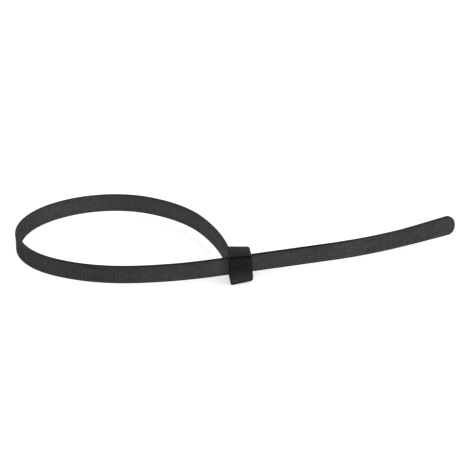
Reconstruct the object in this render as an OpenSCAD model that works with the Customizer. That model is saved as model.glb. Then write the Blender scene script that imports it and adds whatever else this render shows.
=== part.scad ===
// Self-locking cable tie, moulded in one piece and drawn closed, with its tail pulled through the head.
// The loop lies flat: +Z is the axis of the bundle it holds, and the tail runs off towards +X.
// The origin is the centre of the loop's round end, half-way across the width of the strap.

/* [Strap] */
// Length of the strap from the back of the head to the tip
strap_len = 244.6; // [240:0.2:270]
// Width of the strap
strap_w = 4.8; // [4.2:0.1:5.2]
// Thickness of the strap over its plain rails
strap_t = 1.3; // [1:0.05:1.4]
// Chamfer along the edges of the strap
edge_c = 0.15; // [0.1:0.05:0.3]
// Width of the plain rail on each side of the teeth
rail_w = 0.6; // [0.5:0.05:0.8]

/* [Teeth] */
// Pitch of the ratchet teeth, and of the ribs behind them
tooth_pitch = 1.07; // [1:0.01:1.3]
// Depth of the ratchet teeth, on the outer face
tooth_h = 0.3; // [0.2:0.05:0.35]
// Length along the strap that the steep face of a tooth takes
steep_run = 0.07; // [0.05:0.01:0.15]
// Depth of the gripping ribs, on the inner face
rib_h = 0.15; // [0.1:0.05:0.25]
// How far the crests of teeth and ribs stay below the rails
crest_drop = 0.06; // [0.04:0.01:0.08]
// Plain neck between the head and the first tooth
neck_len = 27; // [15:1:35]
// Length of strap that carries teeth
toothed_len = 183; // [165:1:185]

/* [Loop] */
// Straight strap before the first bend
root_run = 1.7; // [1:0.1:4]
// Radius of the first bend, next to the head
root_r = 87; // [75:1:100]
// Angle of the first bend
root_turn = 17; // [12:1:20]
// Radius of the second bend
shoulder_r = 40.8; // [36:0.2:46]
// Angle of the second bend
shoulder_turn = 33; // [28:1:38]
// Radius of the loop's round end
crown_r = 23.5; // [21:0.1:26]
// Angle of the loop's round end
crown_turn = 107; // [100:1:112]
// Angle of the bend after the round end
side_turn = 65; // [60:1:70]
// Angle of the long bend that leads back to the head
near_turn = 37; // [33:1:40]
// Radius of the last bend before the head
entry_r = 78; // [65:1:90]
// Straight strap before it enters the head
entry_run = 4; // [3:0.1:8]

/* [Tail] */
// Straight strap from the front of the slot to the bend of the tail
exit_run = 28.4; // [20:0.2:32]
// Radius of the bend of the tail
tail_r = 86; // [60:1:95]
// Angle of the bend of the tail
tail_turn = 17.4; // [0.5:0.1:19]
// Width of the tail at its tip
tip_w = 5.4; // [4.8:0.1:5.8]
// Length over which the tail widens
flare_len = 17; // [8:1:25]
// Radius of the two corners of the tip
tip_r = 2.2; // [1.2:0.1:2.3]
// Plain stretch between the teeth and the tail grip
grip_gap = 2; // [1:1:10]
// Length of the tail grip
grip_len = 27; // [16:1:28]
// Pitch of the broad ribs of the tail grip
grip_pitch = 2.1; // [1.5:0.1:3]
// Depth of the ribs of the tail grip
grip_h = 0.15; // [0.1:0.05:0.25]

/* [Head] */
// Length of the head along the slot
head_l = 6.4; // [5.5:0.1:8]
// Depth of the head at its entry face
head_d = 9; // [8.5:0.02:10]
// Height of the head at its entry face, across the strap
head_h = 8.4; // [7.6:0.1:10]
// Draft of the head's front and back
draft_y = 7; // [3:0.1:8]
// Draft of the head's upper and lower sides
draft_z = 3.8; // [1:0.1:5]
// Lean of the entry and exit faces
head_lean = 3.2; // [0:0.1:5]
// Rounding of the head's edges
head_r = 0.7; // [0.3:0.05:0.9]
// Step from the entry face to the inner face of the strap's root
root_step = 0.2; // [0.05:0.05:0.3]
// How deep the root of the strap runs into the head
root_bury = 1.5; // [1:0.1:2]

/* [Slot and pawl] */
// Distance from the back of the head to the centre of the slot, at the entry face
slot_y = 4.48; // [4.1:0.02:4.8]
// Tilt of the slot from square to the root
slot_tilt = 5; // [3:0.5:6]
// Clearance over and under the strap in the slot
slot_gap = 0.15; // [0.1:0.05:0.25]
// Clearance beside the strap in the slot
side_gap = 0.2; // [0.1:0.05:0.3]
// Widening of the slot at its mouth
mouth_w = 0.4; // [0.2:0.05:0.6]
// Depth of the widened mouth
mouth_d = 0.7; // [0.4:0.1:1]
// Wall in front of the pawl's chamber, at the exit
chamber_wall = 0.9; // [0.6:0.05:1.1]
// Distance from the entry face to the hinge of the pawl
hinge_x = 1.5; // [1.3:0.1:1.8]
// Thickness of the pawl at its hinge
hinge_t = 0.75; // [0.6:0.05:0.9]
// Thickness of the pawl behind its teeth
pawl_t = 1; // [0.8:0.05:1.2]
// Number of teeth on the pawl
pawl_teeth = 2; // [1:1:2]
// Distance from the tip of the pawl to the exit face, at the least
pawl_setback = 0.4; // [0.3:0.1:1]
// Clearance between the teeth of the pawl and of the strap
tooth_gap = 0.08; // [0.05:0.01:0.12]

/* [Hidden] */
nylon = "#3b3b3c";
ring_turn = 4;
ring_gap = 3;
corner_fn = 20;
corner_steps = 6;
overrun = 1;

// Route of the strap's centre line: lengths and turns of tangent stretches, from the back of the head.
function arc_len(r, turn) = r*turn*PI/180;
function bend(h, turn) = [sin(h + turn) - sin(h), cos(h) - cos(h + turn)];
function go(p, len, turn) = turn == 0
    ? [p.x + len*cos(p.z), p.y + len*sin(p.z), p.z]
    : let(r = len*180/PI/turn, b = bend(p.z, turn)) [p.x + r*b.x, p.y + r*b.y, p.z + turn];

root_x = strap_t/2 - root_step;
h_root = 90;
h_shoulder = h_root + root_turn;
h_crown = h_shoulder + shoulder_turn;
h_side = h_crown + crown_turn;
h_near = h_side + side_turn;
h_entry = h_near + near_turn;
h_slot = 360 + slot_tilt;
entry_turn = h_slot - h_entry;

// The radii of the side bend and the near bend are the two that bring the loop back to its slot.
slot_in = [0, -slot_y];
lead_in = slot_in - entry_run*[cos(slot_tilt), sin(slot_tilt)];
known = [root_x, root_run] + root_r*bend(h_root, root_turn) + shoulder_r*bend(h_shoulder, shoulder_turn)
    + crown_r*bend(h_crown, crown_turn) + entry_r*bend(h_entry, entry_turn);
gap = lead_in - known;
side_v = bend(h_side, side_turn);
near_v = bend(h_near, near_turn);
side_r = cross(gap, near_v)/cross(side_v, near_v);
near_r = cross(side_v, gap)/cross(side_v, near_v);

before_tip = [
    [root_bury + root_run, 0],
    [arc_len(root_r, root_turn), root_turn],
    [arc_len(shoulder_r, shoulder_turn), shoulder_turn],
    [arc_len(crown_r, crown_turn), crown_turn],
    [arc_len(side_r, side_turn), side_turn],
    [arc_len(near_r, near_turn), near_turn],
    [arc_len(entry_r, entry_turn), entry_turn],
    [entry_run + exit_run, 0],
    [arc_len(tail_r, tail_turn), tail_turn],
];
function total(list, n) = n == 0 ? 0 : list[n - 1].x + total(list, n - 1);
tip_run = strap_len + root_bury - total(before_tip, len(before_tip));
route = concat(before_tip, [[tip_run, 0]]);
starts = [for (i = [0:len(route) - 1]) total(route, i) - root_bury];
poses = [for (i = 0, p = [root_x, -root_bury, h_root]; i < len(route); p = go(p, route[i].x, route[i].y), i = i + 1) p];
crown_pose = poses[3];
centre = [crown_pose.x - crown_r*sin(crown_pose.z), crown_pose.y + crown_r*cos(crown_pose.z)];
slot_s = starts[7] + entry_run;

// Position and heading at a distance s along the strap, and a point set off to its outer side.
function pose_at(s, i = 0) = i == len(route) - 1 || s <= starts[i + 1]
    ? go(poses[i], s - starts[i], route[i].y*(s - starts[i])/route[i].x)
    : pose_at(s, i + 1);
function beside(s, off) = let(p = pose_at(s)) [p.x + off*sin(p.z), p.y - off*cos(p.z)];

// Cross-section of the strap, and how its width and thickness change towards the tip.
function corner_loss(s) = let(d = max(0, s - (strap_len - tip_r))) tip_r - sqrt(tip_r*tip_r - d*d);
function flared_w(s) = strap_w + (tip_w - strap_w)*max(0, s - flare_s)/(strap_len - flare_s);
function width_at(s) = flared_w(s) - 2*corner_loss(s);
function thick_at(s) = strap_t - 2*max(0, s - (strap_len - edge_c));
function section(w, t) = [
    [t/2, w/2 - edge_c], [t/2 - edge_c, w/2], [edge_c - t/2, w/2], [-t/2, w/2 - edge_c],
    [-t/2, edge_c - w/2], [edge_c - t/2, -w/2], [t/2 - edge_c, -w/2], [t/2, edge_c - w/2],
];
function ring(s) = let(p = pose_at(s))
    [for (q = section(width_at(s), thick_at(s))) [p.x + q.x*sin(p.z), p.y - q.x*cos(p.z), q.y]];

// Distances along the strap at which its rings stand: closer where it bends more, then round the tip.
function ring_n(run) = run.y == 0 ? 1 : ceil(max(run.y/ring_turn, run.x/ring_gap));
flare_s = max(strap_len - flare_len, starts[len(route) - 1] + strap_t/2);
stations = concat(
    [for (i = [0:len(route) - 2], j = [0:ring_n(route[i]) - 1]) starts[i] + route[i].x*j/ring_n(route[i])],
    [starts[len(route) - 1], flare_s],
    [for (i = [0:corner_steps - 1]) strap_len - tip_r + tip_r*sin(90*i/corner_steps)],
    [strap_len]
);
sides = 8;

module band() {
    last = len(stations) - 1;
    points = [for (s = stations) each ring(s)];
    caps = [[for (j = [sides - 1:-1:0]) j], [for (j = [0:sides - 1]) last*sides + j]];
    walls = [for (i = [0:last - 1], j = [0:sides - 1])
        let(k = (j + 1)%sides) [i*sides + j, i*sides + k, (i + 1)*sides + k, (i + 1)*sides + j]];
    polyhedron(points, concat(caps, walls));
}

// A channel between the rails, cut down to a row of [distance along, height] points on one face.
module channel(face, profile) {
    first = profile[0].x;
    run = profile[len(profile) - 1].x - first;
    bed = [for (q = profile) beside(q.x, face*q.y)];
    lid_n = ceil(run/ring_gap);
    lid = [for (i = [lid_n:-1:0]) beside(first + run*i/lid_n, face*(strap_t/2 + overrun))];
    linear_extrude(strap_w - 2*rail_w, center = true) polygon(concat(bed, lid));
}

crest = strap_t/2 - crest_drop;
tooth_bed = crest - tooth_h;
teeth_n = floor(toothed_len/tooth_pitch);

// Repeats the [share of a pitch, height] points of one tooth or rib. The row starts and ends at crest height.
function row(start, pitch, n, tooth) = concat(
    [[start, crest]],
    [for (i = [0:n - 1], q = tooth) if (i + q.x > 0) [start + (i + q.x)*pitch, q.y]],
    [[start + n*pitch, crest]]
);

// Ratchet teeth: a steep face towards the head, then a ramp down to the next tooth.
module ratchet_teeth() {
    channel(1, row(neck_len, tooth_pitch, teeth_n, [[0, tooth_bed], [steep_run/tooth_pitch, crest]]));
}

// Gripping ribs: the same pitch, with both faces alike.
module inner_ribs() {
    channel(-1, row(neck_len, tooth_pitch, teeth_n, [[0, crest - rib_h], [0.5, crest]]));
}

// Tail grip: broad low ribs with flat crests.
module tail_grip(face) {
    start = neck_len + teeth_n*tooth_pitch + grip_gap;
    bed = crest - grip_h;
    channel(face, row(start, grip_pitch, floor(grip_len/grip_pitch), [[0, bed], [0.3, bed], [0.5, crest], [0.8, crest]]));
}

module strap() {
    color(nylon) difference() {
        band();
        ratchet_teeth();
        inner_ribs();
        tail_grip(1);
        tail_grip(-1);
    }
}

// Head: a drafted block with rounded edges, widest at its entry face.
function back_y(x) = -x*tan(draft_y) - head_r/cos(draft_y);
function front_y(x) = -head_d + x*tan(draft_y) + head_r/cos(draft_y);
function half_h(x) = head_h/2 - x*tan(draft_z) - head_r/cos(draft_z);

module head_block() {
    hull() {
        for (x = [head_r, head_l - head_r], y = [back_y(x), front_y(x)], side = [-1, 1]) {
            translate([x + y*tan(head_lean), y, side*half_h(x)]) sphere(head_r, $fn = corner_fn);
        }
    }
}

// Slot and pawl are drawn along the strap: x from the mouth of the slot, y towards the root.
slot_t = strap_t/2 + slot_gap;
slot_w = strap_w + 2*side_gap;
chamber_y = head_d - slot_y + head_l*(tan(slot_tilt) - tan(draft_y)) - chamber_wall;

module along_slot() {
    translate([slot_in.x, slot_in.y, 0]) rotate([0, 0, slot_tilt]) children();
}

module slot() {
    translate([-overrun, -slot_t, -slot_w/2]) cube([head_l + 2*overrun, 2*slot_t, slot_w]);
}

module slot_mouth() {
    start = -overrun;
    grow = mouth_w*(1 + overrun/mouth_d);
    hull() {
        translate([start, -slot_t - grow, -slot_w/2 - grow]) cube([0.01, 2*(slot_t + grow), slot_w + 2*grow]);
        translate([mouth_d, -slot_t, -slot_w/2]) cube([0.01, 2*slot_t, slot_w]);
    }
}

module pawl_chamber() {
    translate([hinge_x, -chamber_y, -slot_w/2]) cube([head_l + overrun - hinge_x, chamber_y, slot_w]);
}

// The pawl leans from its hinge towards the exit, with its teeth in the last teeth that fit the head.
pawl_end = head_l - pawl_setback;
pawl_k = floor((slot_s + pawl_end + tooth_gap - neck_len)/tooth_pitch);
pawl_crest = tooth_bed + tooth_gap;
pawl_root = crest + tooth_gap;

module pawl() {
    tooth_x = [for (k = [pawl_k - pawl_teeth:pawl_k]) neck_len + k*tooth_pitch - slot_s - tooth_gap];
    teeth = [for (k = [1:pawl_teeth], q = [[tooth_x[k - 1] + steep_run, -pawl_root], [tooth_x[k], -pawl_crest]]) q];
    tip_x = tooth_x[pawl_teeth];
    hinge_y = (slot_t + chamber_y)/2;
    arm = [
        [tip_x + steep_run, -pawl_root], [tip_x + steep_run, -pawl_root - pawl_t/2],
        [tip_x - pawl_t/2, -pawl_root - pawl_t],
        [hinge_x - overrun/2, -hinge_y - hinge_t], [hinge_x - overrun/2, -hinge_y],
        [hinge_x + overrun/4, -hinge_y],
    ];
    color(nylon) translate([0, 0, -strap_w/2 + rail_w + tooth_gap]) linear_extrude(strap_w - 2*(rail_w + tooth_gap))
        polygon(concat(teeth, arm));
}

module head() {
    color(nylon) difference() {
        head_block();
        along_slot() {
            slot();
            slot_mouth();
            pawl_chamber();
        }
    }
}

module cable_tie() {
    translate([-centre.x, -centre.y, 0]) {
        strap();
        head();
        along_slot() pawl();
    }
}

cable_tie();
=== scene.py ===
import math

import bpy
from mathutils import Matrix, Vector


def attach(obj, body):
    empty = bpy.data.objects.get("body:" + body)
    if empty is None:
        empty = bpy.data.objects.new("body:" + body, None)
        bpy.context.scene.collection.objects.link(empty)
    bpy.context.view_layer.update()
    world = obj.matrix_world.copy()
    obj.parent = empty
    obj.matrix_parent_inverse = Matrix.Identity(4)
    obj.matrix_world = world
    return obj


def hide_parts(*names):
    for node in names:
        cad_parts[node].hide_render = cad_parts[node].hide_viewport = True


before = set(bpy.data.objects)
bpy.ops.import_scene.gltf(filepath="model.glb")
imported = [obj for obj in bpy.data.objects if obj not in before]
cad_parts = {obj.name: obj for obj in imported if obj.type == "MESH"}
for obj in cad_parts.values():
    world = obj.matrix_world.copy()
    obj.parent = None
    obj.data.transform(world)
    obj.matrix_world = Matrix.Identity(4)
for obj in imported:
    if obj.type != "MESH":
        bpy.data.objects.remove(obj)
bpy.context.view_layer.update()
mm = 0.001

# Strap, in mm, as in the part's own source. Only its teeth are shallower, since they show as a soft wave.
strap = {
    "length": 244.6, "width": 4.8, "thick": 1.3, "edge": 0.15, "edgeSegments": 3, "rail": 0.6, "bury": 1.5,
    "neck": 27, "toothed": 183,
    "toothPitch": 1.07, "toothDepth": 0.15, "toothCrest": 0.5, "ribDepth": 0.15, "crestDrop": 0.06,
    "gripGap": 2, "gripLength": 27, "gripPitch": 2.1, "gripDepth": 0.15,
    "tipWidth": 5.4, "flare": 17, "tipRadius": 2.2, "tipSegments": 10, "tipExtra": 0.4,
}
# Route of the strap, in mm and degrees, from its root inside the head round to the tip
loop = {
    "rootStep": 0.2, "rootRun": 1.7, "rootRadius": 87, "rootTurn": 17,
    "shoulderRadius": 40.8, "shoulderTurn": 33, "crownRadius": 23.5, "crownTurn": 107,
    "sideTurn": 65, "nearTurn": 37, "entryRadius": 78, "entryRun": 4, "slotY": 4.48, "slotTilt": 5,
    "exitRun": 28.4, "tailRadius": 86, "tailTurn": 17.4,
}
routeStep = 0.25  # mm between the points of the route
plainCell = 1.1  # mm, the longest cell of a plain stretch
slack = 0.004  # mm, within which two points count as one
squareOn = 0.9  # a face looks along an axis where its normal has more of it than this


def tan(angle):
    return math.tan(math.radians(angle))


def bend(heading, turn):
    a, b = math.radians(heading), math.radians(heading + turn)
    return Vector((math.sin(b) - math.sin(a), math.cos(a) - math.cos(b)))


def cross(a, b):
    return a.x * b.y - a.y * b.x


# Runs of the strap's centre line, as length and turn, and where it starts. Two radii are solved, so that the
# loop closes.
def strapRoute():
    turns = [loop["rootTurn"], loop["shoulderTurn"], loop["crownTurn"], loop["sideTurn"], loop["nearTurn"]]
    turns.append(270 + loop["slotTilt"] - sum(turns))  # the last one lines the strap up with the slot
    headings = [90 + sum(turns[:i]) for i in range(6)]
    bends = [bend(h, a) for h, a in zip(headings, turns)]
    tilt = math.radians(loop["slotTilt"])
    start = Vector((strap["thick"] / 2 - loop["rootStep"], loop["rootRun"]))
    leadIn = Vector((0, -loop["slotY"])) - loop["entryRun"] * Vector((math.cos(tilt), math.sin(tilt)))
    gap = leadIn - start - loop["rootRadius"] * bends[0] - loop["shoulderRadius"] * bends[1]
    gap -= loop["crownRadius"] * bends[2] + loop["entryRadius"] * bends[5]
    spread = cross(bends[3], bends[4])
    solved = [cross(gap, bends[4]) / spread, cross(bends[3], gap) / spread]
    radii = [loop["rootRadius"], loop["shoulderRadius"], loop["crownRadius"]] + solved + [loop["entryRadius"]]
    runs = [(strap["bury"] + loop["rootRun"], 0)]
    runs += [(r * math.radians(a), a) for r, a in zip(radii, turns)]
    runs += [(loop["entryRun"] + loop["exitRun"], 0)]
    runs += [(loop["tailRadius"] * math.radians(loop["tailTurn"]), loop["tailTurn"])]
    runs += [(strap["length"] + strap["bury"] - sum(r[0] for r in runs), 0)]
    return runs, start - Vector((0, strap["bury"] + loop["rootRun"]))


def walkRoute(runs, start, step):
    point, heading, points, starts = start.copy(), 90.0, [start.copy()], []
    for length, turn in runs:
        starts.append((point.copy(), heading))
        count = max(1, math.ceil(length / step))
        for i in range(1, count + 1):
            if turn:
                radius = length / math.radians(turn)
                points.append(point + radius * bend(heading, turn * i / count))
            else:
                way = Vector((math.cos(math.radians(heading)), math.sin(math.radians(heading))))
                points.append(point + way * length * i / count)
        point, heading = points[-1].copy(), heading + turn
    return points, starts


runs, rootEnd = strapRoute()
routePoints, runStarts = walkRoute(runs, rootEnd, routeStep)
crownStart, crownHeading = runStarts[3]  # the fourth run is the loop's round end
crownNormal = Vector((-math.sin(math.radians(crownHeading)), math.cos(math.radians(crownHeading))))
loopCentre = crownStart + loop["crownRadius"] * crownNormal
bendsEnd = sum(r[0] for r in runs[:7]) - strap["bury"]
slotDistance = bendsEnd + loop["entryRun"]  # where the slot begins, along the strap


# Helpers for modelling with operators. Places and sizes given to them are in mm.
def deselectAll():
    bpy.ops.object.select_all(action="DESELECT")


def activate(piece):
    deselectAll()
    piece.select_set(True)
    bpy.context.view_layer.objects.active = piece


def addBox(name, low, high):
    deselectAll()
    middle = [(a + b) / 2 * mm for a, b in zip(low, high)]
    bpy.ops.mesh.primitive_cube_add(size=1, location=middle)
    box = bpy.context.object
    box.name = name
    box.scale = [(b - a) * mm for a, b in zip(low, high)]
    bpy.ops.object.transform_apply(location=True, rotation=True, scale=True)
    return box


def selectFaces(piece, test):
    bpy.ops.object.mode_set(mode="EDIT")
    bpy.ops.mesh.select_mode(type="FACE")
    bpy.ops.mesh.select_all(action="DESELECT")
    bpy.ops.object.mode_set(mode="OBJECT")
    for face in piece.data.polygons:
        face.select = test(face.center / mm, face.normal)
    bpy.ops.object.mode_set(mode="EDIT")


def selectEdges(piece, test):
    bpy.ops.object.mode_set(mode="EDIT")
    bpy.ops.mesh.select_mode(type="EDGE")
    bpy.ops.mesh.select_all(action="DESELECT")
    bpy.ops.object.mode_set(mode="OBJECT")
    points = piece.data.vertices
    for edge in piece.data.edges:
        a, b = edge.vertices
        edge.select = test(points[a].co / mm, points[b].co / mm)
    bpy.ops.object.mode_set(mode="EDIT")


def cutAcross(place, normal):
    bpy.ops.mesh.select_all(action="SELECT")
    place = [v * mm for v in place]
    bpy.ops.mesh.bisect(plane_co=place, plane_no=normal, threshold=slack * mm)


def shiftAlong(piece, distance):
    bpy.ops.object.mode_set(mode="OBJECT")
    for vertex in piece.data.vertices:
        vertex.co += Vector((distance, 0, 0)) * mm


def applyModifier(piece, kind, **settings):
    activate(piece)
    modifier = piece.modifiers.new(kind.title(), kind)
    for key, value in settings.items():
        setattr(modifier, key, value)
    bpy.ops.object.modifier_apply(modifier=modifier.name)


def near(a, b):
    return abs(a - b) < slack


# The strap is made straight, from repeated cells, and then bent to its route
halfT, halfW = strap["thick"] / 2, strap["width"] / 2
channelZ = halfW - strap["rail"]


# One cell: a sleeve with rounded edges and open ends. A profile gives a channel's depth at shares of the
# cell's length.
def strapCell(name, length, outer, inner):
    cell = addBox(name, (0, -halfT, -halfW), (length, halfT, halfW))
    selectEdges(cell, lambda a, b: near(a.y, b.y) and near(a.z, b.z))
    bpy.ops.mesh.bevel(offset=strap["edge"] * mm, segments=strap["edgeSegments"], affect="EDGES")
    bpy.ops.object.mode_set(mode="OBJECT")
    selectFaces(cell, lambda c, n: abs(n.x) > squareOn)
    bpy.ops.mesh.delete(type="FACE")
    for z in (-channelZ, channelZ):
        cutAcross((0, 0, z), (0, 0, 1))
    for share in sorted(set(p[0] for p in (outer or []) + (inner or []) if 0 < p[0] < 1)):
        cutAcross((length * share, 0, 0), (1, 0, 0))
    bpy.ops.object.mode_set(mode="OBJECT")
    for side, profile in ((-1, outer), (1, inner)):
        if not profile:
            continue
        selectFaces(cell, lambda c, n: n.y * side > squareOn and abs(c.z) < channelZ)
        drop = (0, -side * strap["crestDrop"] * mm, 0)
        bpy.ops.mesh.extrude_region_move(TRANSFORM_OT_translate={"value": drop})
        bpy.ops.object.mode_set(mode="OBJECT")
        bed = side * (halfT - strap["crestDrop"])
        depthAt = dict(profile)
        depthAt[1] = depthAt[0]
        shares = sorted(depthAt)

        def depth(x):
            x = min(max(x, 0), length)
            for a, b in zip(shares, shares[1:]):
                if x <= b * length + slack:
                    return depthAt[a] + (depthAt[b] - depthAt[a]) * (x / length - a) / (b - a)

        for vertex in cell.data.vertices:
            p = vertex.co / mm
            if near(p.y, bed) and abs(p.z) < channelZ + slack:
                vertex.co.y -= side * depth(p.x) * mm
    selectFaces(cell, lambda c, n: near(c.x, 0) or near(c.x, length))
    bpy.ops.mesh.delete(type="FACE")
    bpy.ops.object.mode_set(mode="OBJECT")
    return cell


# A row of teeth starts and ends at crest height
def closeRow(row, start, end):
    for vertex in row.data.vertices:
        p = vertex.co / mm
        ends = near(p.x - strap["bury"], start) or near(p.x - strap["bury"], end)
        if ends and abs(p.z) < channelZ + slack and abs(p.y) < halfT - strap["crestDrop"]:
            vertex.co.y = math.copysign((halfT - strap["crestDrop"]) * mm, p.y)
    return row


def repeatCell(cell, pitch, count, start):
    applyModifier(cell, "ARRAY", count=count, use_relative_offset=False, use_constant_offset=True,
                  constant_offset_displace=(pitch * mm, 0, 0),
                  use_merge_vertices=True, merge_threshold=slack / 2 * mm)
    shiftAlong(cell, start + strap["bury"])
    return cell


def plainStretch(name, start, end):
    count = math.ceil((end - start) / plainCell)
    length = (end - start) / count
    return repeatCell(strapCell(name, length, None, None), length, count, start)


teethCount = math.floor(strap["toothed"] / strap["toothPitch"])
teethEnd = strap["neck"] + teethCount * strap["toothPitch"]
gripStart = teethEnd + strap["gripGap"]
gripCount = math.floor(strap["gripLength"] / strap["gripPitch"])
gripEnd = gripStart + gripCount * strap["gripPitch"]
tipLength = strap["tipRadius"] + strap["tipExtra"]
tipStart = strap["length"] - tipLength
# Profiles of teeth and ribs, as shares of the pitch and the depth there in mm
toothProfile = [(0, strap["toothDepth"]), (strap["toothCrest"], 0)]
ribProfile = [(0, strap["ribDepth"]), (0.5, 0)]
gripProfile = [(0, strap["gripDepth"]), (0.3, strap["gripDepth"]), (0.5, 0), (0.8, 0)]


def tipCell(name):
    tip = addBox(name, (0, -halfT, -halfW), (tipLength, halfT, halfW))
    selectEdges(tip, lambda a, b: near(a.x, tipLength) and near(b.x, tipLength) and near(a.z, b.z))
    bpy.ops.mesh.bevel(offset=strap["tipRadius"] * mm, segments=strap["tipSegments"], affect="EDGES")
    bpy.ops.object.mode_set(mode="OBJECT")
    selectFaces(tip, lambda c, n: near(c.x, 0))
    bpy.ops.mesh.delete(type="FACE")
    bpy.ops.object.mode_set(mode="OBJECT")
    selectEdges(tip, lambda a, b: near(a.y, b.y) and not (near(a.x, 0) and near(b.x, 0)))
    bpy.ops.mesh.bevel(offset=strap["edge"] * mm, segments=strap["edgeSegments"], affect="EDGES")
    for z in (-channelZ, channelZ):
        cutAcross((0, 0, z), (0, 0, 1))
    bpy.ops.object.mode_set(mode="OBJECT")
    shiftAlong(tip, tipStart + strap["bury"])
    return tip


def makeStrap():
    teeth = strapCell("teeth", strap["toothPitch"], toothProfile, ribProfile)
    repeatCell(teeth, strap["toothPitch"], teethCount, strap["neck"])
    grip = strapCell("grip", strap["gripPitch"], gripProfile, gripProfile)
    repeatCell(grip, strap["gripPitch"], gripCount, gripStart)
    stretches = [
        plainStretch("neck", -strap["bury"], strap["neck"]),
        closeRow(teeth, strap["neck"], teethEnd),
        plainStretch("gap", teethEnd, gripStart),
        closeRow(grip, gripStart, gripEnd),
        plainStretch("end", gripEnd, tipStart),
        tipCell("tip"),
    ]
    deselectAll()
    for piece in stretches:
        piece.select_set(True)
    bpy.context.view_layer.objects.active = stretches[0]
    bpy.ops.object.join()
    band = bpy.context.object
    band.name = "strap"
    band.data.name = "strap"
    bpy.ops.object.mode_set(mode="EDIT")
    bpy.ops.mesh.select_all(action="SELECT")
    bpy.ops.mesh.remove_doubles(threshold=slack * mm)
    bpy.ops.mesh.select_all(action="DESELECT")
    bpy.ops.mesh.select_mode(type="EDGE")
    bpy.ops.mesh.select_non_manifold(extend=False)
    bpy.ops.mesh.fill_holes(sides=0)  # root end, and the ends of the channels
    bpy.ops.mesh.select_all(action="SELECT")
    bpy.ops.mesh.normals_make_consistent(inside=False)
    bpy.ops.object.mode_set(mode="OBJECT")
    layer = band.data.uv_layers.new(name="onStrap")
    for corner, slot in zip(band.data.loops, layer.data):  # mm along and across the straight strap
        place = band.data.vertices[corner.vertex_index].co / mm
        slot.uv = (place.x - strap["bury"], place.z)
    flareStart = strap["length"] - strap["flare"]
    grow = strap["tipWidth"] / strap["width"] - 1
    for vertex in band.data.vertices:  # the tail widens towards its tip
        along = vertex.co.x / mm - strap["bury"]
        vertex.co.z *= 1 + grow * max(0, along - flareStart) / strap["flare"]
    return band


def bendStrap(band):
    deselectAll()
    bpy.ops.curve.primitive_bezier_curve_add(location=(0, 0, 0))
    guide = bpy.context.object
    guide.data.splines.clear()
    line = guide.data.splines.new("POLY")
    line.points.add(len(routePoints) - 1)
    for point, place in zip(line.points, routePoints):
        point.co = ((place.x - loopCentre.x) * mm, (place.y - loopCentre.y) * mm, 0, 1)
    guide.data.dimensions = "2D"
    applyModifier(band, "CURVE", object=guide, deform_axis="POS_X")
    bpy.data.objects.remove(guide)


strapPiece = makeStrap()
bendStrap(strapPiece)
print("strap:", len(strapPiece.data.polygons), "faces")


# Head: a drafted block with rounded edges, pierced by the slot, its mouth and the pawl's chamber
head = {
    "length": 6.4, "depth": 9, "height": 8.4, "draftY": 7, "draftZ": 3.8, "lean": 3.2,
    "round": 0.7, "roundSegments": 6,
    "slotGap": 0.15, "sideGap": 0.2, "mouthGrow": 0.4, "mouthDepth": 0.7, "frontWall": 0.9,
    "hingeX": 1.5, "hingeThick": 0.75, "hingeBury": 0.5, "hingeFoot": 0.25,
    "pawlThick": 1, "pawlTeeth": 2, "pawlSetback": 0.4, "toothGap": 0.08,
}
cutterReach, mouthReach = 2, 1  # mm that the cutters stand out of the block
slotT = halfT + head["slotGap"]
slotW = halfW + head["sideGap"]
frontLean = head["length"] * (tan(loop["slotTilt"]) - tan(head["draftY"]))
chamberY = head["depth"] - loop["slotY"] + frontLean - head["frontWall"]


def placeInSlot(piece):
    turn = Matrix.Rotation(math.radians(loop["slotTilt"]), 4, "Z")
    piece.data.transform(Matrix.Translation(Vector((0, -loop["slotY"], 0)) * mm) @ turn)


def toPart(piece):
    piece.data.transform(Matrix.Translation(Vector((-loopCentre.x, -loopCentre.y, 0)) * mm))


def makeHead():
    length, depth, height = head["length"], head["depth"], head["height"]
    block = addBox("head", (0, -depth, -height / 2), (length, 0, height / 2))
    selectFaces(block, lambda c, n: n.x > squareOn)
    narrow = 1 - 2 * length * tan(head["draftY"]) / depth
    lower = 1 - 2 * length * tan(head["draftZ"]) / height
    middle = Vector((length, -depth / 2, 0)) * mm
    bpy.ops.transform.resize(value=(1, narrow, lower), center_override=middle)
    bpy.ops.object.mode_set(mode="OBJECT")
    for vertex in block.data.vertices:  # both end faces lean
        vertex.co.x += vertex.co.y * tan(head["lean"])
    bpy.ops.object.mode_set(mode="EDIT")
    bpy.ops.mesh.select_all(action="SELECT")
    bpy.ops.mesh.bevel(offset=head["round"] * mm, segments=head["roundSegments"], affect="EDGES")
    bpy.ops.object.mode_set(mode="OBJECT")
    far = length + cutterReach
    slot = addBox("slotCutter", (-cutterReach, -slotT, -slotW), (far, slotT, slotW))
    mouth = addBox("mouthCutter", (-mouthReach, -slotT, -slotW), (head["mouthDepth"], slotT, slotW))
    selectFaces(mouth, lambda c, n: n.x < -squareOn)
    grow = head["mouthGrow"] * (1 + mouthReach / head["mouthDepth"])
    bpy.ops.transform.resize(value=(1, (slotT + grow) / slotT, (slotW + grow) / slotW),
                             center_override=(-mouthReach * mm, 0, 0))
    bpy.ops.object.mode_set(mode="OBJECT")
    chamber = addBox("chamberCutter", (head["hingeX"], -chamberY, -slotW), (far, slotT / 2, slotW))
    for cutter in (slot, mouth, chamber):
        placeInSlot(cutter)
        applyModifier(block, "BOOLEAN", object=cutter, operation="DIFFERENCE", solver="EXACT")
        bpy.data.objects.remove(cutter)
    toPart(block)
    block.data.name = "head"
    return block


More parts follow.
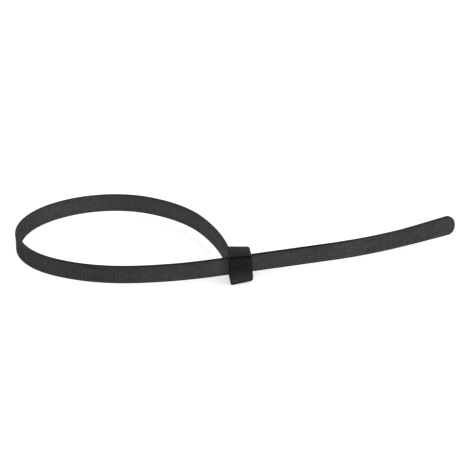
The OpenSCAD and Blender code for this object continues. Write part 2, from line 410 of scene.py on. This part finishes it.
# Pawl: a tongue on a hinge in the front wall, with teeth that fill the valleys of the strap's teeth
def makePawl():
    crest = halfT - strap["crestDrop"]
    bed = crest - strap["toothDepth"]
    pitch, gap, thick = strap["toothPitch"], head["toothGap"], head["pawlThick"]
    end = slotDistance + head["length"] - head["pawlSetback"] - strap["neck"]
    last = math.floor((end + gap) / pitch)
    valleyShades = range(last - head["pawlTeeth"], last + 1)
    toothX = [strap["neck"] + k * pitch - slotDistance - gap for k in valleyShades]
    outline = []
    for here, after in zip(toothX, toothX[1:]):
        outline += [(here + strap["toothCrest"] * pitch, -crest - gap), (after, -bed - gap)]
    tipX, root = toothX[-1] + gap, crest + gap
    hingeX, hingeY = head["hingeX"], (slotT + chamberY) / 2
    outline += [(tipX, -root), (tipX, -root - thick / 2), (tipX - thick / 2, -root - thick),
                (hingeX - head["hingeBury"], -hingeY - head["hingeThick"]),
                (hingeX - head["hingeBury"], -hingeY), (hingeX + head["hingeFoot"], -hingeY)]
    half = halfW - strap["rail"] - gap
    deselectAll()
    bpy.ops.mesh.primitive_circle_add(vertices=len(outline), radius=mm, fill_type="NGON", location=(0, 0, 0))
    pawl = bpy.context.object
    pawl.name = "pawl"
    pawl.data.name = "pawl"
    for vertex, place in zip(pawl.data.vertices, outline):
        vertex.co = Vector((place[0], place[1], -half)) * mm
    bpy.ops.object.mode_set(mode="EDIT")
    bpy.ops.mesh.select_all(action="SELECT")
    bpy.ops.mesh.extrude_region_move(TRANSFORM_OT_translate={"value": (0, 0, 2 * half * mm)})
    bpy.ops.mesh.select_all(action="SELECT")
    bpy.ops.mesh.normals_make_consistent(inside=False)
    bpy.ops.object.mode_set(mode="OBJECT")
    placeInSlot(pawl)
    toPart(pawl)
    return pawl


headPiece = makeHead()
pawlPiece = makePawl()
print("head and pawl:", len(headPiece.data.polygons), len(pawlPiece.data.polygons), "faces")


# Materials
def colour(hexCode):
    parts = [int(hexCode[i:i + 2], 16) / 255 for i in (1, 3, 5)]
    return [c / 12.92 if c <= 0.04045 else ((c + 0.055) / 1.055) ** 2.4 for c in parts] + [1]


def startMaterial(name):
    material = bpy.data.materials.new(name)
    material.use_nodes = True
    material.node_tree.nodes.clear()
    return material


# Adds a node. An input is another node's output to link, a hex colour or a plain value.
def addNode(material, kind, settings, inputs):
    tree = material.node_tree
    node = tree.nodes.new(kind)
    for key, value in settings.items():
        setattr(node, key, value)
    for key, value in inputs.items():
        if isinstance(value, bpy.types.NodeSocket):
            tree.links.new(value, node.inputs[key])
        else:
            node.inputs[key].default_value = colour(value) if isinstance(value, str) else value
    return node


# How far a value is from a middle one, either way
def awayFrom(material, value, middle):
    away = addNode(material, "ShaderNodeMath", {"operation": "SUBTRACT"}, {0: value, 1: middle})
    return addNode(material, "ShaderNodeMath", {"operation": "ABSOLUTE"}, {0: away.outputs[0]}).outputs[0]


# Tones of the nylon at distances in mm along the strap, here with painted light and shade
def tonesAlong(material, along, stops):
    inputs = {0: along, 1: strap["length"]}
    share = addNode(material, "ShaderNodeMath", {"operation": "DIVIDE"}, inputs)
    ramp = addNode(material, "ShaderNodeValToRGB", {}, {0: share.outputs[0]})
    marks = ramp.color_ramp.elements
    while len(marks) < len(stops):
        marks.new(0.5)
    for mark, (distance, hexCode) in zip(marks, stops.items()):
        mark.position = distance / strap["length"]
        mark.color = colour(hexCode)
    return ramp.outputs["Color"]


# Lays tones over a first one. Each has its strength and its limits. A limit is a value, where on it the tone
# starts to show, and where it shows in full.
def layTones(material, tone, layers):
    for over, strength, *limits in layers:
        part = strength
        for value, start, full in limits:
            inputs = {"Value": value, "From Min": start, "From Max": full}
            share = addNode(material, "ShaderNodeMapRange", {}, inputs).outputs[0]
            product = addNode(material, "ShaderNodeMath", {"operation": "MULTIPLY"}, {0: share, 1: part})
            part = product.outputs[0]
        mixed = addNode(material, "ShaderNodeMix", {"data_type": "RGBA"}, {0: part, 6: tone, 7: over})
        tone = mixed.outputs[2]
    return tone


def nylonFinish(material, look, tone, place):
    grain = {"Vector": place, "Scale": 1 / (look["grain"] * mm), "Detail": 3}
    grain = addNode(material, "ShaderNodeTexNoise", {}, grain).outputs["Fac"]
    spread = {"Value": grain, "From Min": 0.3, "From Max": 0.7}  # where most of the noise lies
    spread.update({"To Min": look["smooth"], "To Max": look["rough"]})
    relief = {"Height": grain, "Strength": look["bump"], "Distance": look["depth"] * mm}
    surface = addNode(material, "ShaderNodeBsdfPrincipled", {}, {
        "Base Color": tone,
        "Roughness": addNode(material, "ShaderNodeMapRange", {}, spread).outputs[0],
        "Normal": addNode(material, "ShaderNodeBump", {}, relief).outputs[0],
        "IOR": 1.53,
        "Specular IOR Level": look["sheen"],
    })
    addNode(material, "ShaderNodeOutputMaterial", {}, {"Surface": surface.outputs[0]})


# Black nylon 6/6, injection moulded. Spark-eroded mould faces leave it matt, nearly without sheen, and the
# flow of the melt leaves a fine mottle. Faces that look upward, on the top edge and a little on the top rail,
# carry painted shade, the lower rail carries painted light, and a dark line along the bottom edge is painted
# shade. Its tones along the strap are painted light and shade: darker at the root and past the round end,
# paler on the shoulder and by the head. It is a little scuffed. Lengths are in mm, along the strap and across
# it.
strapLook = {
    # The strap's grey, with painted light and shade along it
    "tonesAndPaintedLight": {0: "#363636", 46: "#4e4e4e", 86: "#464646", 103: "#2a2a2a", 128: "#454545", 170: "#3f3f3f",
              178: "#565656", 188: "#434343", 204: "#414141", 211: "#484848", 220: "#424242"},
    # Painted shade on faces that look upward, along the strap, and a little of it on the top rail
    "edges": {20: "#383838", 55: "#2a2a2a", 90: "#3c3c3c", 114: "#3a3a3a", 130: "#262626",
              200: "#161616", 216: "#303030"},
    "mottle": 1.3, "mottleDark": "#303030", "mottlePale": "#585858", "mottleStrength": 0.22,
    # Painted light on the lower rail, and the share of the painted shade on the top rail
    "lowRailLight": "#5e5e5e", "lowRailLightStrength": 0.7, "topRailShadeStrength": 0.2,
    # Painted shade: a dark line along the bottom edge
    "lowEdgeShade": "#101010", "lowEdgeShadeTop": 0.5, "lowEdgeShadeFull": 0.2,
    # Painted shade between the teeth, over the listed stretches
    "valleyShade": "#1a1a1a",
    "valleyShades": ({"row": "teeth", "along": 56, "long": 15, "strength": 0.28},
                {"row": "teeth", "along": 140, "long": 17, "strength": 0.28},
                {"row": "grip", "along": 225, "long": 14, "strength": 0.1}),
    "scuff": "#323232",
    "scuffs": ({"along": 141, "across": 1.75, "slope": -0.09, "long": 5, "wide": 0.45, "strength": 1},
               {"along": 141.5, "across": -0.7, "slope": 0, "long": 2, "wide": 1.4, "strength": 0.5}),
    "grain": 0.25, "smooth": 0.6, "rough": 0.75, "bump": 0.5, "depth": 0.02, "sheen": 0.03,
}


def strapMaterial(look):
    material = startMaterial("mouldedNylonStrap")
    place = addNode(material, "ShaderNodeTexCoord", {}, {}).outputs["Object"]
    onStrap = addNode(material, "ShaderNodeUVMap", {"uv_map": "onStrap"}, {}).outputs["UV"]
    onStrap = addNode(material, "ShaderNodeSeparateXYZ", {}, {0: onStrap})
    along, across = onStrap.outputs["X"], onStrap.outputs["Y"]
    normal = addNode(material, "ShaderNodeNewGeometry", {}, {}).outputs["Normal"]
    upward = addNode(material, "ShaderNodeSeparateXYZ", {}, {0: normal}).outputs["Z"]
    mottle = {"Vector": place, "Scale": 1 / (look["mottle"] * mm), "Detail": 2}
    mottle = addNode(material, "ShaderNodeTexNoise", {}, mottle).outputs["Fac"]
    railZ, railHalf = (channelZ + halfW) / 2, strap["rail"] / 2
    soft = 0.05  # mm over which the tones of the rails fade, either way
    lowRailLight = (awayFrom(material, across, -railZ), railHalf + soft, railHalf - soft)
    topRail = (awayFrom(material, across, railZ), railHalf + soft, railHalf - soft)
    channel = (awayFrom(material, across, 0), channelZ + soft, channelZ - soft)
    lowEdgeShade = (across, look["lowEdgeShadeTop"] - halfW, look["lowEdgeShadeFull"] - halfW)
    layers = [
        (look["mottleDark"], look["mottleStrength"], (mottle, 0.5, 0.7)),
        (look["mottlePale"], look["mottleStrength"], (mottle, 0.5, 0.3)),
        # painted light on the lower rail
        (look["lowRailLight"], look["lowRailLightStrength"], lowRailLight),
        # painted shade along the bottom edge
        (look["lowEdgeShade"], 1, lowEdgeShade),
    ]
    rows = {"teeth": (strap["neck"], strap["toothPitch"]), "grip": (gripStart, strap["gripPitch"])}
    for dark in look["valleyShades"]:  # painted shade between the teeth, over the listed stretches of the strap
        start, pitch = rows[dark["row"]]
        wave = addNode(material, "ShaderNodeMath", {"operation": "SUBTRACT"}, {0: along, 1: start})
        inputs = {0: wave.outputs[0], 1: pitch / 2}
        wave = addNode(material, "ShaderNodeMath", {"operation": "PINGPONG"}, inputs)
        valleyShade = (wave.outputs[0], pitch / 2, 0)
        window = (awayFrom(material, along, dark["along"]), dark["long"], dark["long"] / 2)
        layers.append((look["valleyShade"], dark["strength"], valleyShade, channel, window))
    for scuff in look["scuffs"]:
        slant = {0: along, 1: -scuff["slope"], 2: scuff["slope"] * scuff["along"]}
        slant = addNode(material, "ShaderNodeMath", {"operation": "MULTIPLY_ADD"}, slant).outputs[0]
        line = {0: across, 1: slant}
        line = addNode(material, "ShaderNodeMath", {"operation": "ADD"}, line).outputs[0]
        wide = (awayFrom(material, line, scuff["across"]), scuff["wide"], scuff["wide"] / 3)
        window = (awayFrom(material, along, scuff["along"]), scuff["long"], scuff["long"] / 2)
        layers.append((look["scuff"], scuff["strength"], wide, window))
    # Painted shade on faces that look upward: in full on the top edge, a little on the top rail
    edge = tonesAlong(material, along, look["edges"])
    layers.append((edge, look["topRailShadeStrength"], topRail))
    layers.append((edge, 1, (upward, 0.3, 0.7)))
    # The first tone carries painted light and shade along the strap
    tone = layTones(material, tonesAlong(material, along, look["tonesAndPaintedLight"]), layers)
    nylonFinish(material, look, tone, place)
    return material


# The same nylon in the head, from a smoother part of the mould: darker, with blotches where flows of the melt
# met, and painted light low down, with a ragged edge. Its rounded edges carry the darkest painted shade, the
# end where the strap comes in has painted shade too, the top face gets its own tone by the way it faces, as
# painted light and shade, and painted shade darkens the top towards its front corner. Lengths are in mm.
headLook = {
    # The head's grey, painted light low down, and painted shade on the end where the strap comes in
    "front": "#202020", "low": "#3e3e3e", "lowTop": 1, "lowFull": -3.5, "entrySideShade": "#1c1c1c",
    # The top face's own tone by the way it faces, as painted light and shade, and painted shade towards its
    # front corner
    "top": "#232323", "topFrontShade": "#161616", "cornerSlope": 0.5, "cornerReach": 8, "cornerFull": 2,
    # Painted shade on the rounded edges, and dark blotches of the nylon
    "edge": "#0e0e0e", "spot": "#141414", "spotSize": 0.9, "blotchSize": 1.4, "blotchReach": 2,
    "grain": 0.3, "smooth": 0.45, "rough": 0.6, "bump": 0.4, "depth": 0.015, "sheen": 0.03,
}


def headMaterial(look):
    material = startMaterial("mouldedNylonHead")
    place = addNode(material, "ShaderNodeTexCoord", {}, {}).outputs["Object"]
    axes = addNode(material, "ShaderNodeSeparateXYZ", {}, {0: place}).outputs
    normal = addNode(material, "ShaderNodeNewGeometry", {}, {}).outputs["Normal"]
    facing = addNode(material, "ShaderNodeSeparateXYZ", {}, {0: normal}).outputs
    upright = addNode(material, "ShaderNodeMath", {"operation": "ABSOLUTE"}, {0: facing["Z"]}).outputs[0]
    spots = {"Vector": place, "Scale": 1 / (look["spotSize"] * mm), "Detail": 3}
    spots = addNode(material, "ShaderNodeTexNoise", {}, spots).outputs["Fac"]
    blotches = {"Vector": place, "Scale": 1 / (look["blotchSize"] * mm), "Detail": 2}
    blotches = addNode(material, "ShaderNodeTexNoise", {}, blotches).outputs["Fac"]
    ragged = {0: blotches, 1: look["blotchReach"] * mm, 2: axes["Z"]}
    ragged = addNode(material, "ShaderNodeMath", {"operation": "MULTIPLY_ADD"}, ragged).outputs[0]
    inward = {0: axes["X"], 1: look["cornerSlope"], 2: axes["Y"]}
    inward = addNode(material, "ShaderNodeMath", {"operation": "MULTIPLY_ADD"}, inward).outputs[0]
    corner = -loopCentre.y - head["depth"] - look["cornerSlope"] * loopCentre.x
    fromCorner = (inward, (corner + look["cornerReach"]) * mm, (corner + look["cornerFull"]) * mm)
    top = (upright, 0.8, 0.97)
    tone = layTones(material, look["front"], [
        (look["spot"], 1, (spots, 0.48, 0.68)),
        # painted light low down
        (look["low"], 1, (ragged, look["lowTop"] * mm, look["lowFull"] * mm)),
        # painted shade on the end where the strap comes in
        (look["entrySideShade"], 1, (facing["X"], -0.2, -0.8)),
        # painted shade on the rounded edges
        (look["edge"], 1, (upright, 0.1, 0.3)),
        # the top face's own tone, by the way it faces, as painted light and shade
        (look["top"], 1, top),
        # painted shade towards the top's front corner
        (look["topFrontShade"], 1, top, fromCorner),
    ])
    nylonFinish(material, look, tone, place)
    return material


strapNylon = strapMaterial(strapLook)
headNylon = headMaterial(headLook)

# Each piece's material, and the angle in degrees from which its edges show as sharp
finishes = ((strapPiece, strapNylon, 35), (headPiece, headNylon, 30), (pawlPiece, headNylon, 30))
for piece, material, sharp in finishes:
    piece.data.materials.clear()
    piece.data.materials.append(material)
    activate(piece)
    bpy.ops.object.shade_smooth_by_angle(angle=math.radians(sharp))
    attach(piece, "root")
    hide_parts("cable_tie")
print("materials: set")


# Floor, light and camera. The floor's sizes are in mm, and the softboxes' places and sizes in m.
stage = {
    "floorZ": -4.2, "floorSize": 4000, "paper": "#f4f4f4", "lift": 0.5, "ambient": 0.72,
    "aim": (0.03, 0, 0),
    "softboxes": {
        "keySoftbox": {"place": (0.9, -0.6, 0.9), "size": (0.9, 0.9), "power": 4.5},
        "frontSoftbox": {"place": (0.6, -1.3, 0.5), "size": (1.2, 0.6), "power": 2},
    },
}


# A share that is 1 for the rays that have to meet plain white: the camera's, and those off gloss or through
# anything clear
def seenDirectly(material):
    paths = addNode(material, "ShaderNodeLightPath", {}, {}).outputs
    seen = paths["Is Camera Ray"]
    for ray in ("Is Glossy Ray", "Is Transmission Ray"):
        pair = {0: seen, 1: paths[ray]}
        seen = addNode(material, "ShaderNodeMath", {"operation": "MAXIMUM"}, pair).outputs[0]
    return seen


deselectAll()
bpy.ops.mesh.primitive_plane_add(size=stage["floorSize"] * mm, location=(0, 0, stage["floorZ"] * mm))
floor = bpy.context.object
floor.name = "floor"
floorPaper = startMaterial("whitePaper")  # matt white paper, lifted to plain white, that still takes a shadow
lift = {0: seenDirectly(floorPaper), 1: stage["lift"]}
lift = addNode(floorPaper, "ShaderNodeMath", {"operation": "MULTIPLY"}, lift).outputs[0]
glow = addNode(floorPaper, "ShaderNodeEmission", {}, {"Color": "#ffffff", "Strength": lift})
matt = addNode(floorPaper, "ShaderNodeBsdfDiffuse", {}, {"Color": stage["paper"]})
sheet = addNode(floorPaper, "ShaderNodeAddShader", {}, {0: matt.outputs[0], 1: glow.outputs[0]})
addNode(floorPaper, "ShaderNodeOutputMaterial", {}, {"Surface": sheet.outputs[0]})
floor.data.materials.append(floorPaper)

# White sky: plain white where it is seen, and a little dimmer as light
studio = bpy.data.worlds.new("studio")
bpy.context.scene.world = studio
studio.use_nodes = True
studio.node_tree.nodes.clear()
sky = {"Value": seenDirectly(studio), "To Min": stage["ambient"], "To Max": 1}
sky = addNode(studio, "ShaderNodeMapRange", {}, sky).outputs[0]
backdrop = addNode(studio, "ShaderNodeBackground", {}, {"Color": "#ffffff", "Strength": sky})
addNode(studio, "ShaderNodeOutputWorld", {}, {"Surface": backdrop.outputs[0]})

for name, box in stage["softboxes"].items():
    data = bpy.data.lights.new(name, "AREA")
    data.shape = "RECTANGLE"
    data.size, data.size_y = box["size"]
    data.energy = box["power"]
    lamp = bpy.data.objects.new(name, data)
    bpy.context.scene.collection.objects.link(lamp)
    lamp.location = box["place"]
    aim = Vector(stage["aim"]) - Vector(box["place"])
    lamp.rotation_euler = aim.to_track_quat("-Z", "Y").to_euler()

# The photograph's view: a long lens from about 22 degrees above. Lengths are in mm, or in pixels of the
# picture.
view = {
    "lookAt": (35.983, -11.213, 0), "turn": 7.095, "elevation": 22, "roll": 3.27, "distance": 1133.2,
    "focalPixels": 4069, "picturePixels": 470, "sensor": 36, "nearClip": 50, "farClip": 20000,
}
turn, dip, roll = (math.radians(view[k]) for k in ("turn", "elevation", "roll"))
ahead = Vector((math.sin(turn) * math.cos(dip), math.cos(turn) * math.cos(dip), -math.sin(dip)))
side = Vector((math.cos(turn), -math.sin(turn), 0))
up = side.cross(ahead)
right = side * math.cos(roll) - up * math.sin(roll)
above = side * math.sin(roll) + up * math.cos(roll)
cameraData = bpy.data.cameras.new("camera")
camera = bpy.data.objects.new("camera", cameraData)
bpy.context.scene.collection.objects.link(camera)
camera.matrix_world = Matrix((right, above, -ahead)).transposed().to_4x4()
camera.location = (Vector(view["lookAt"]) - ahead * view["distance"]) * mm
cameraData.sensor_width = view["sensor"]
cameraData.sensor_fit = "HORIZONTAL"
cameraData.lens = view["sensor"] * view["focalPixels"] / view["picturePixels"]
cameraData.clip_start = view["nearClip"] * mm
cameraData.clip_end = view["farClip"] * mm
bpy.context.scene.camera = camera
bpy.context.scene.view_settings.view_transform = "Standard"
print("floor, light and camera: set")
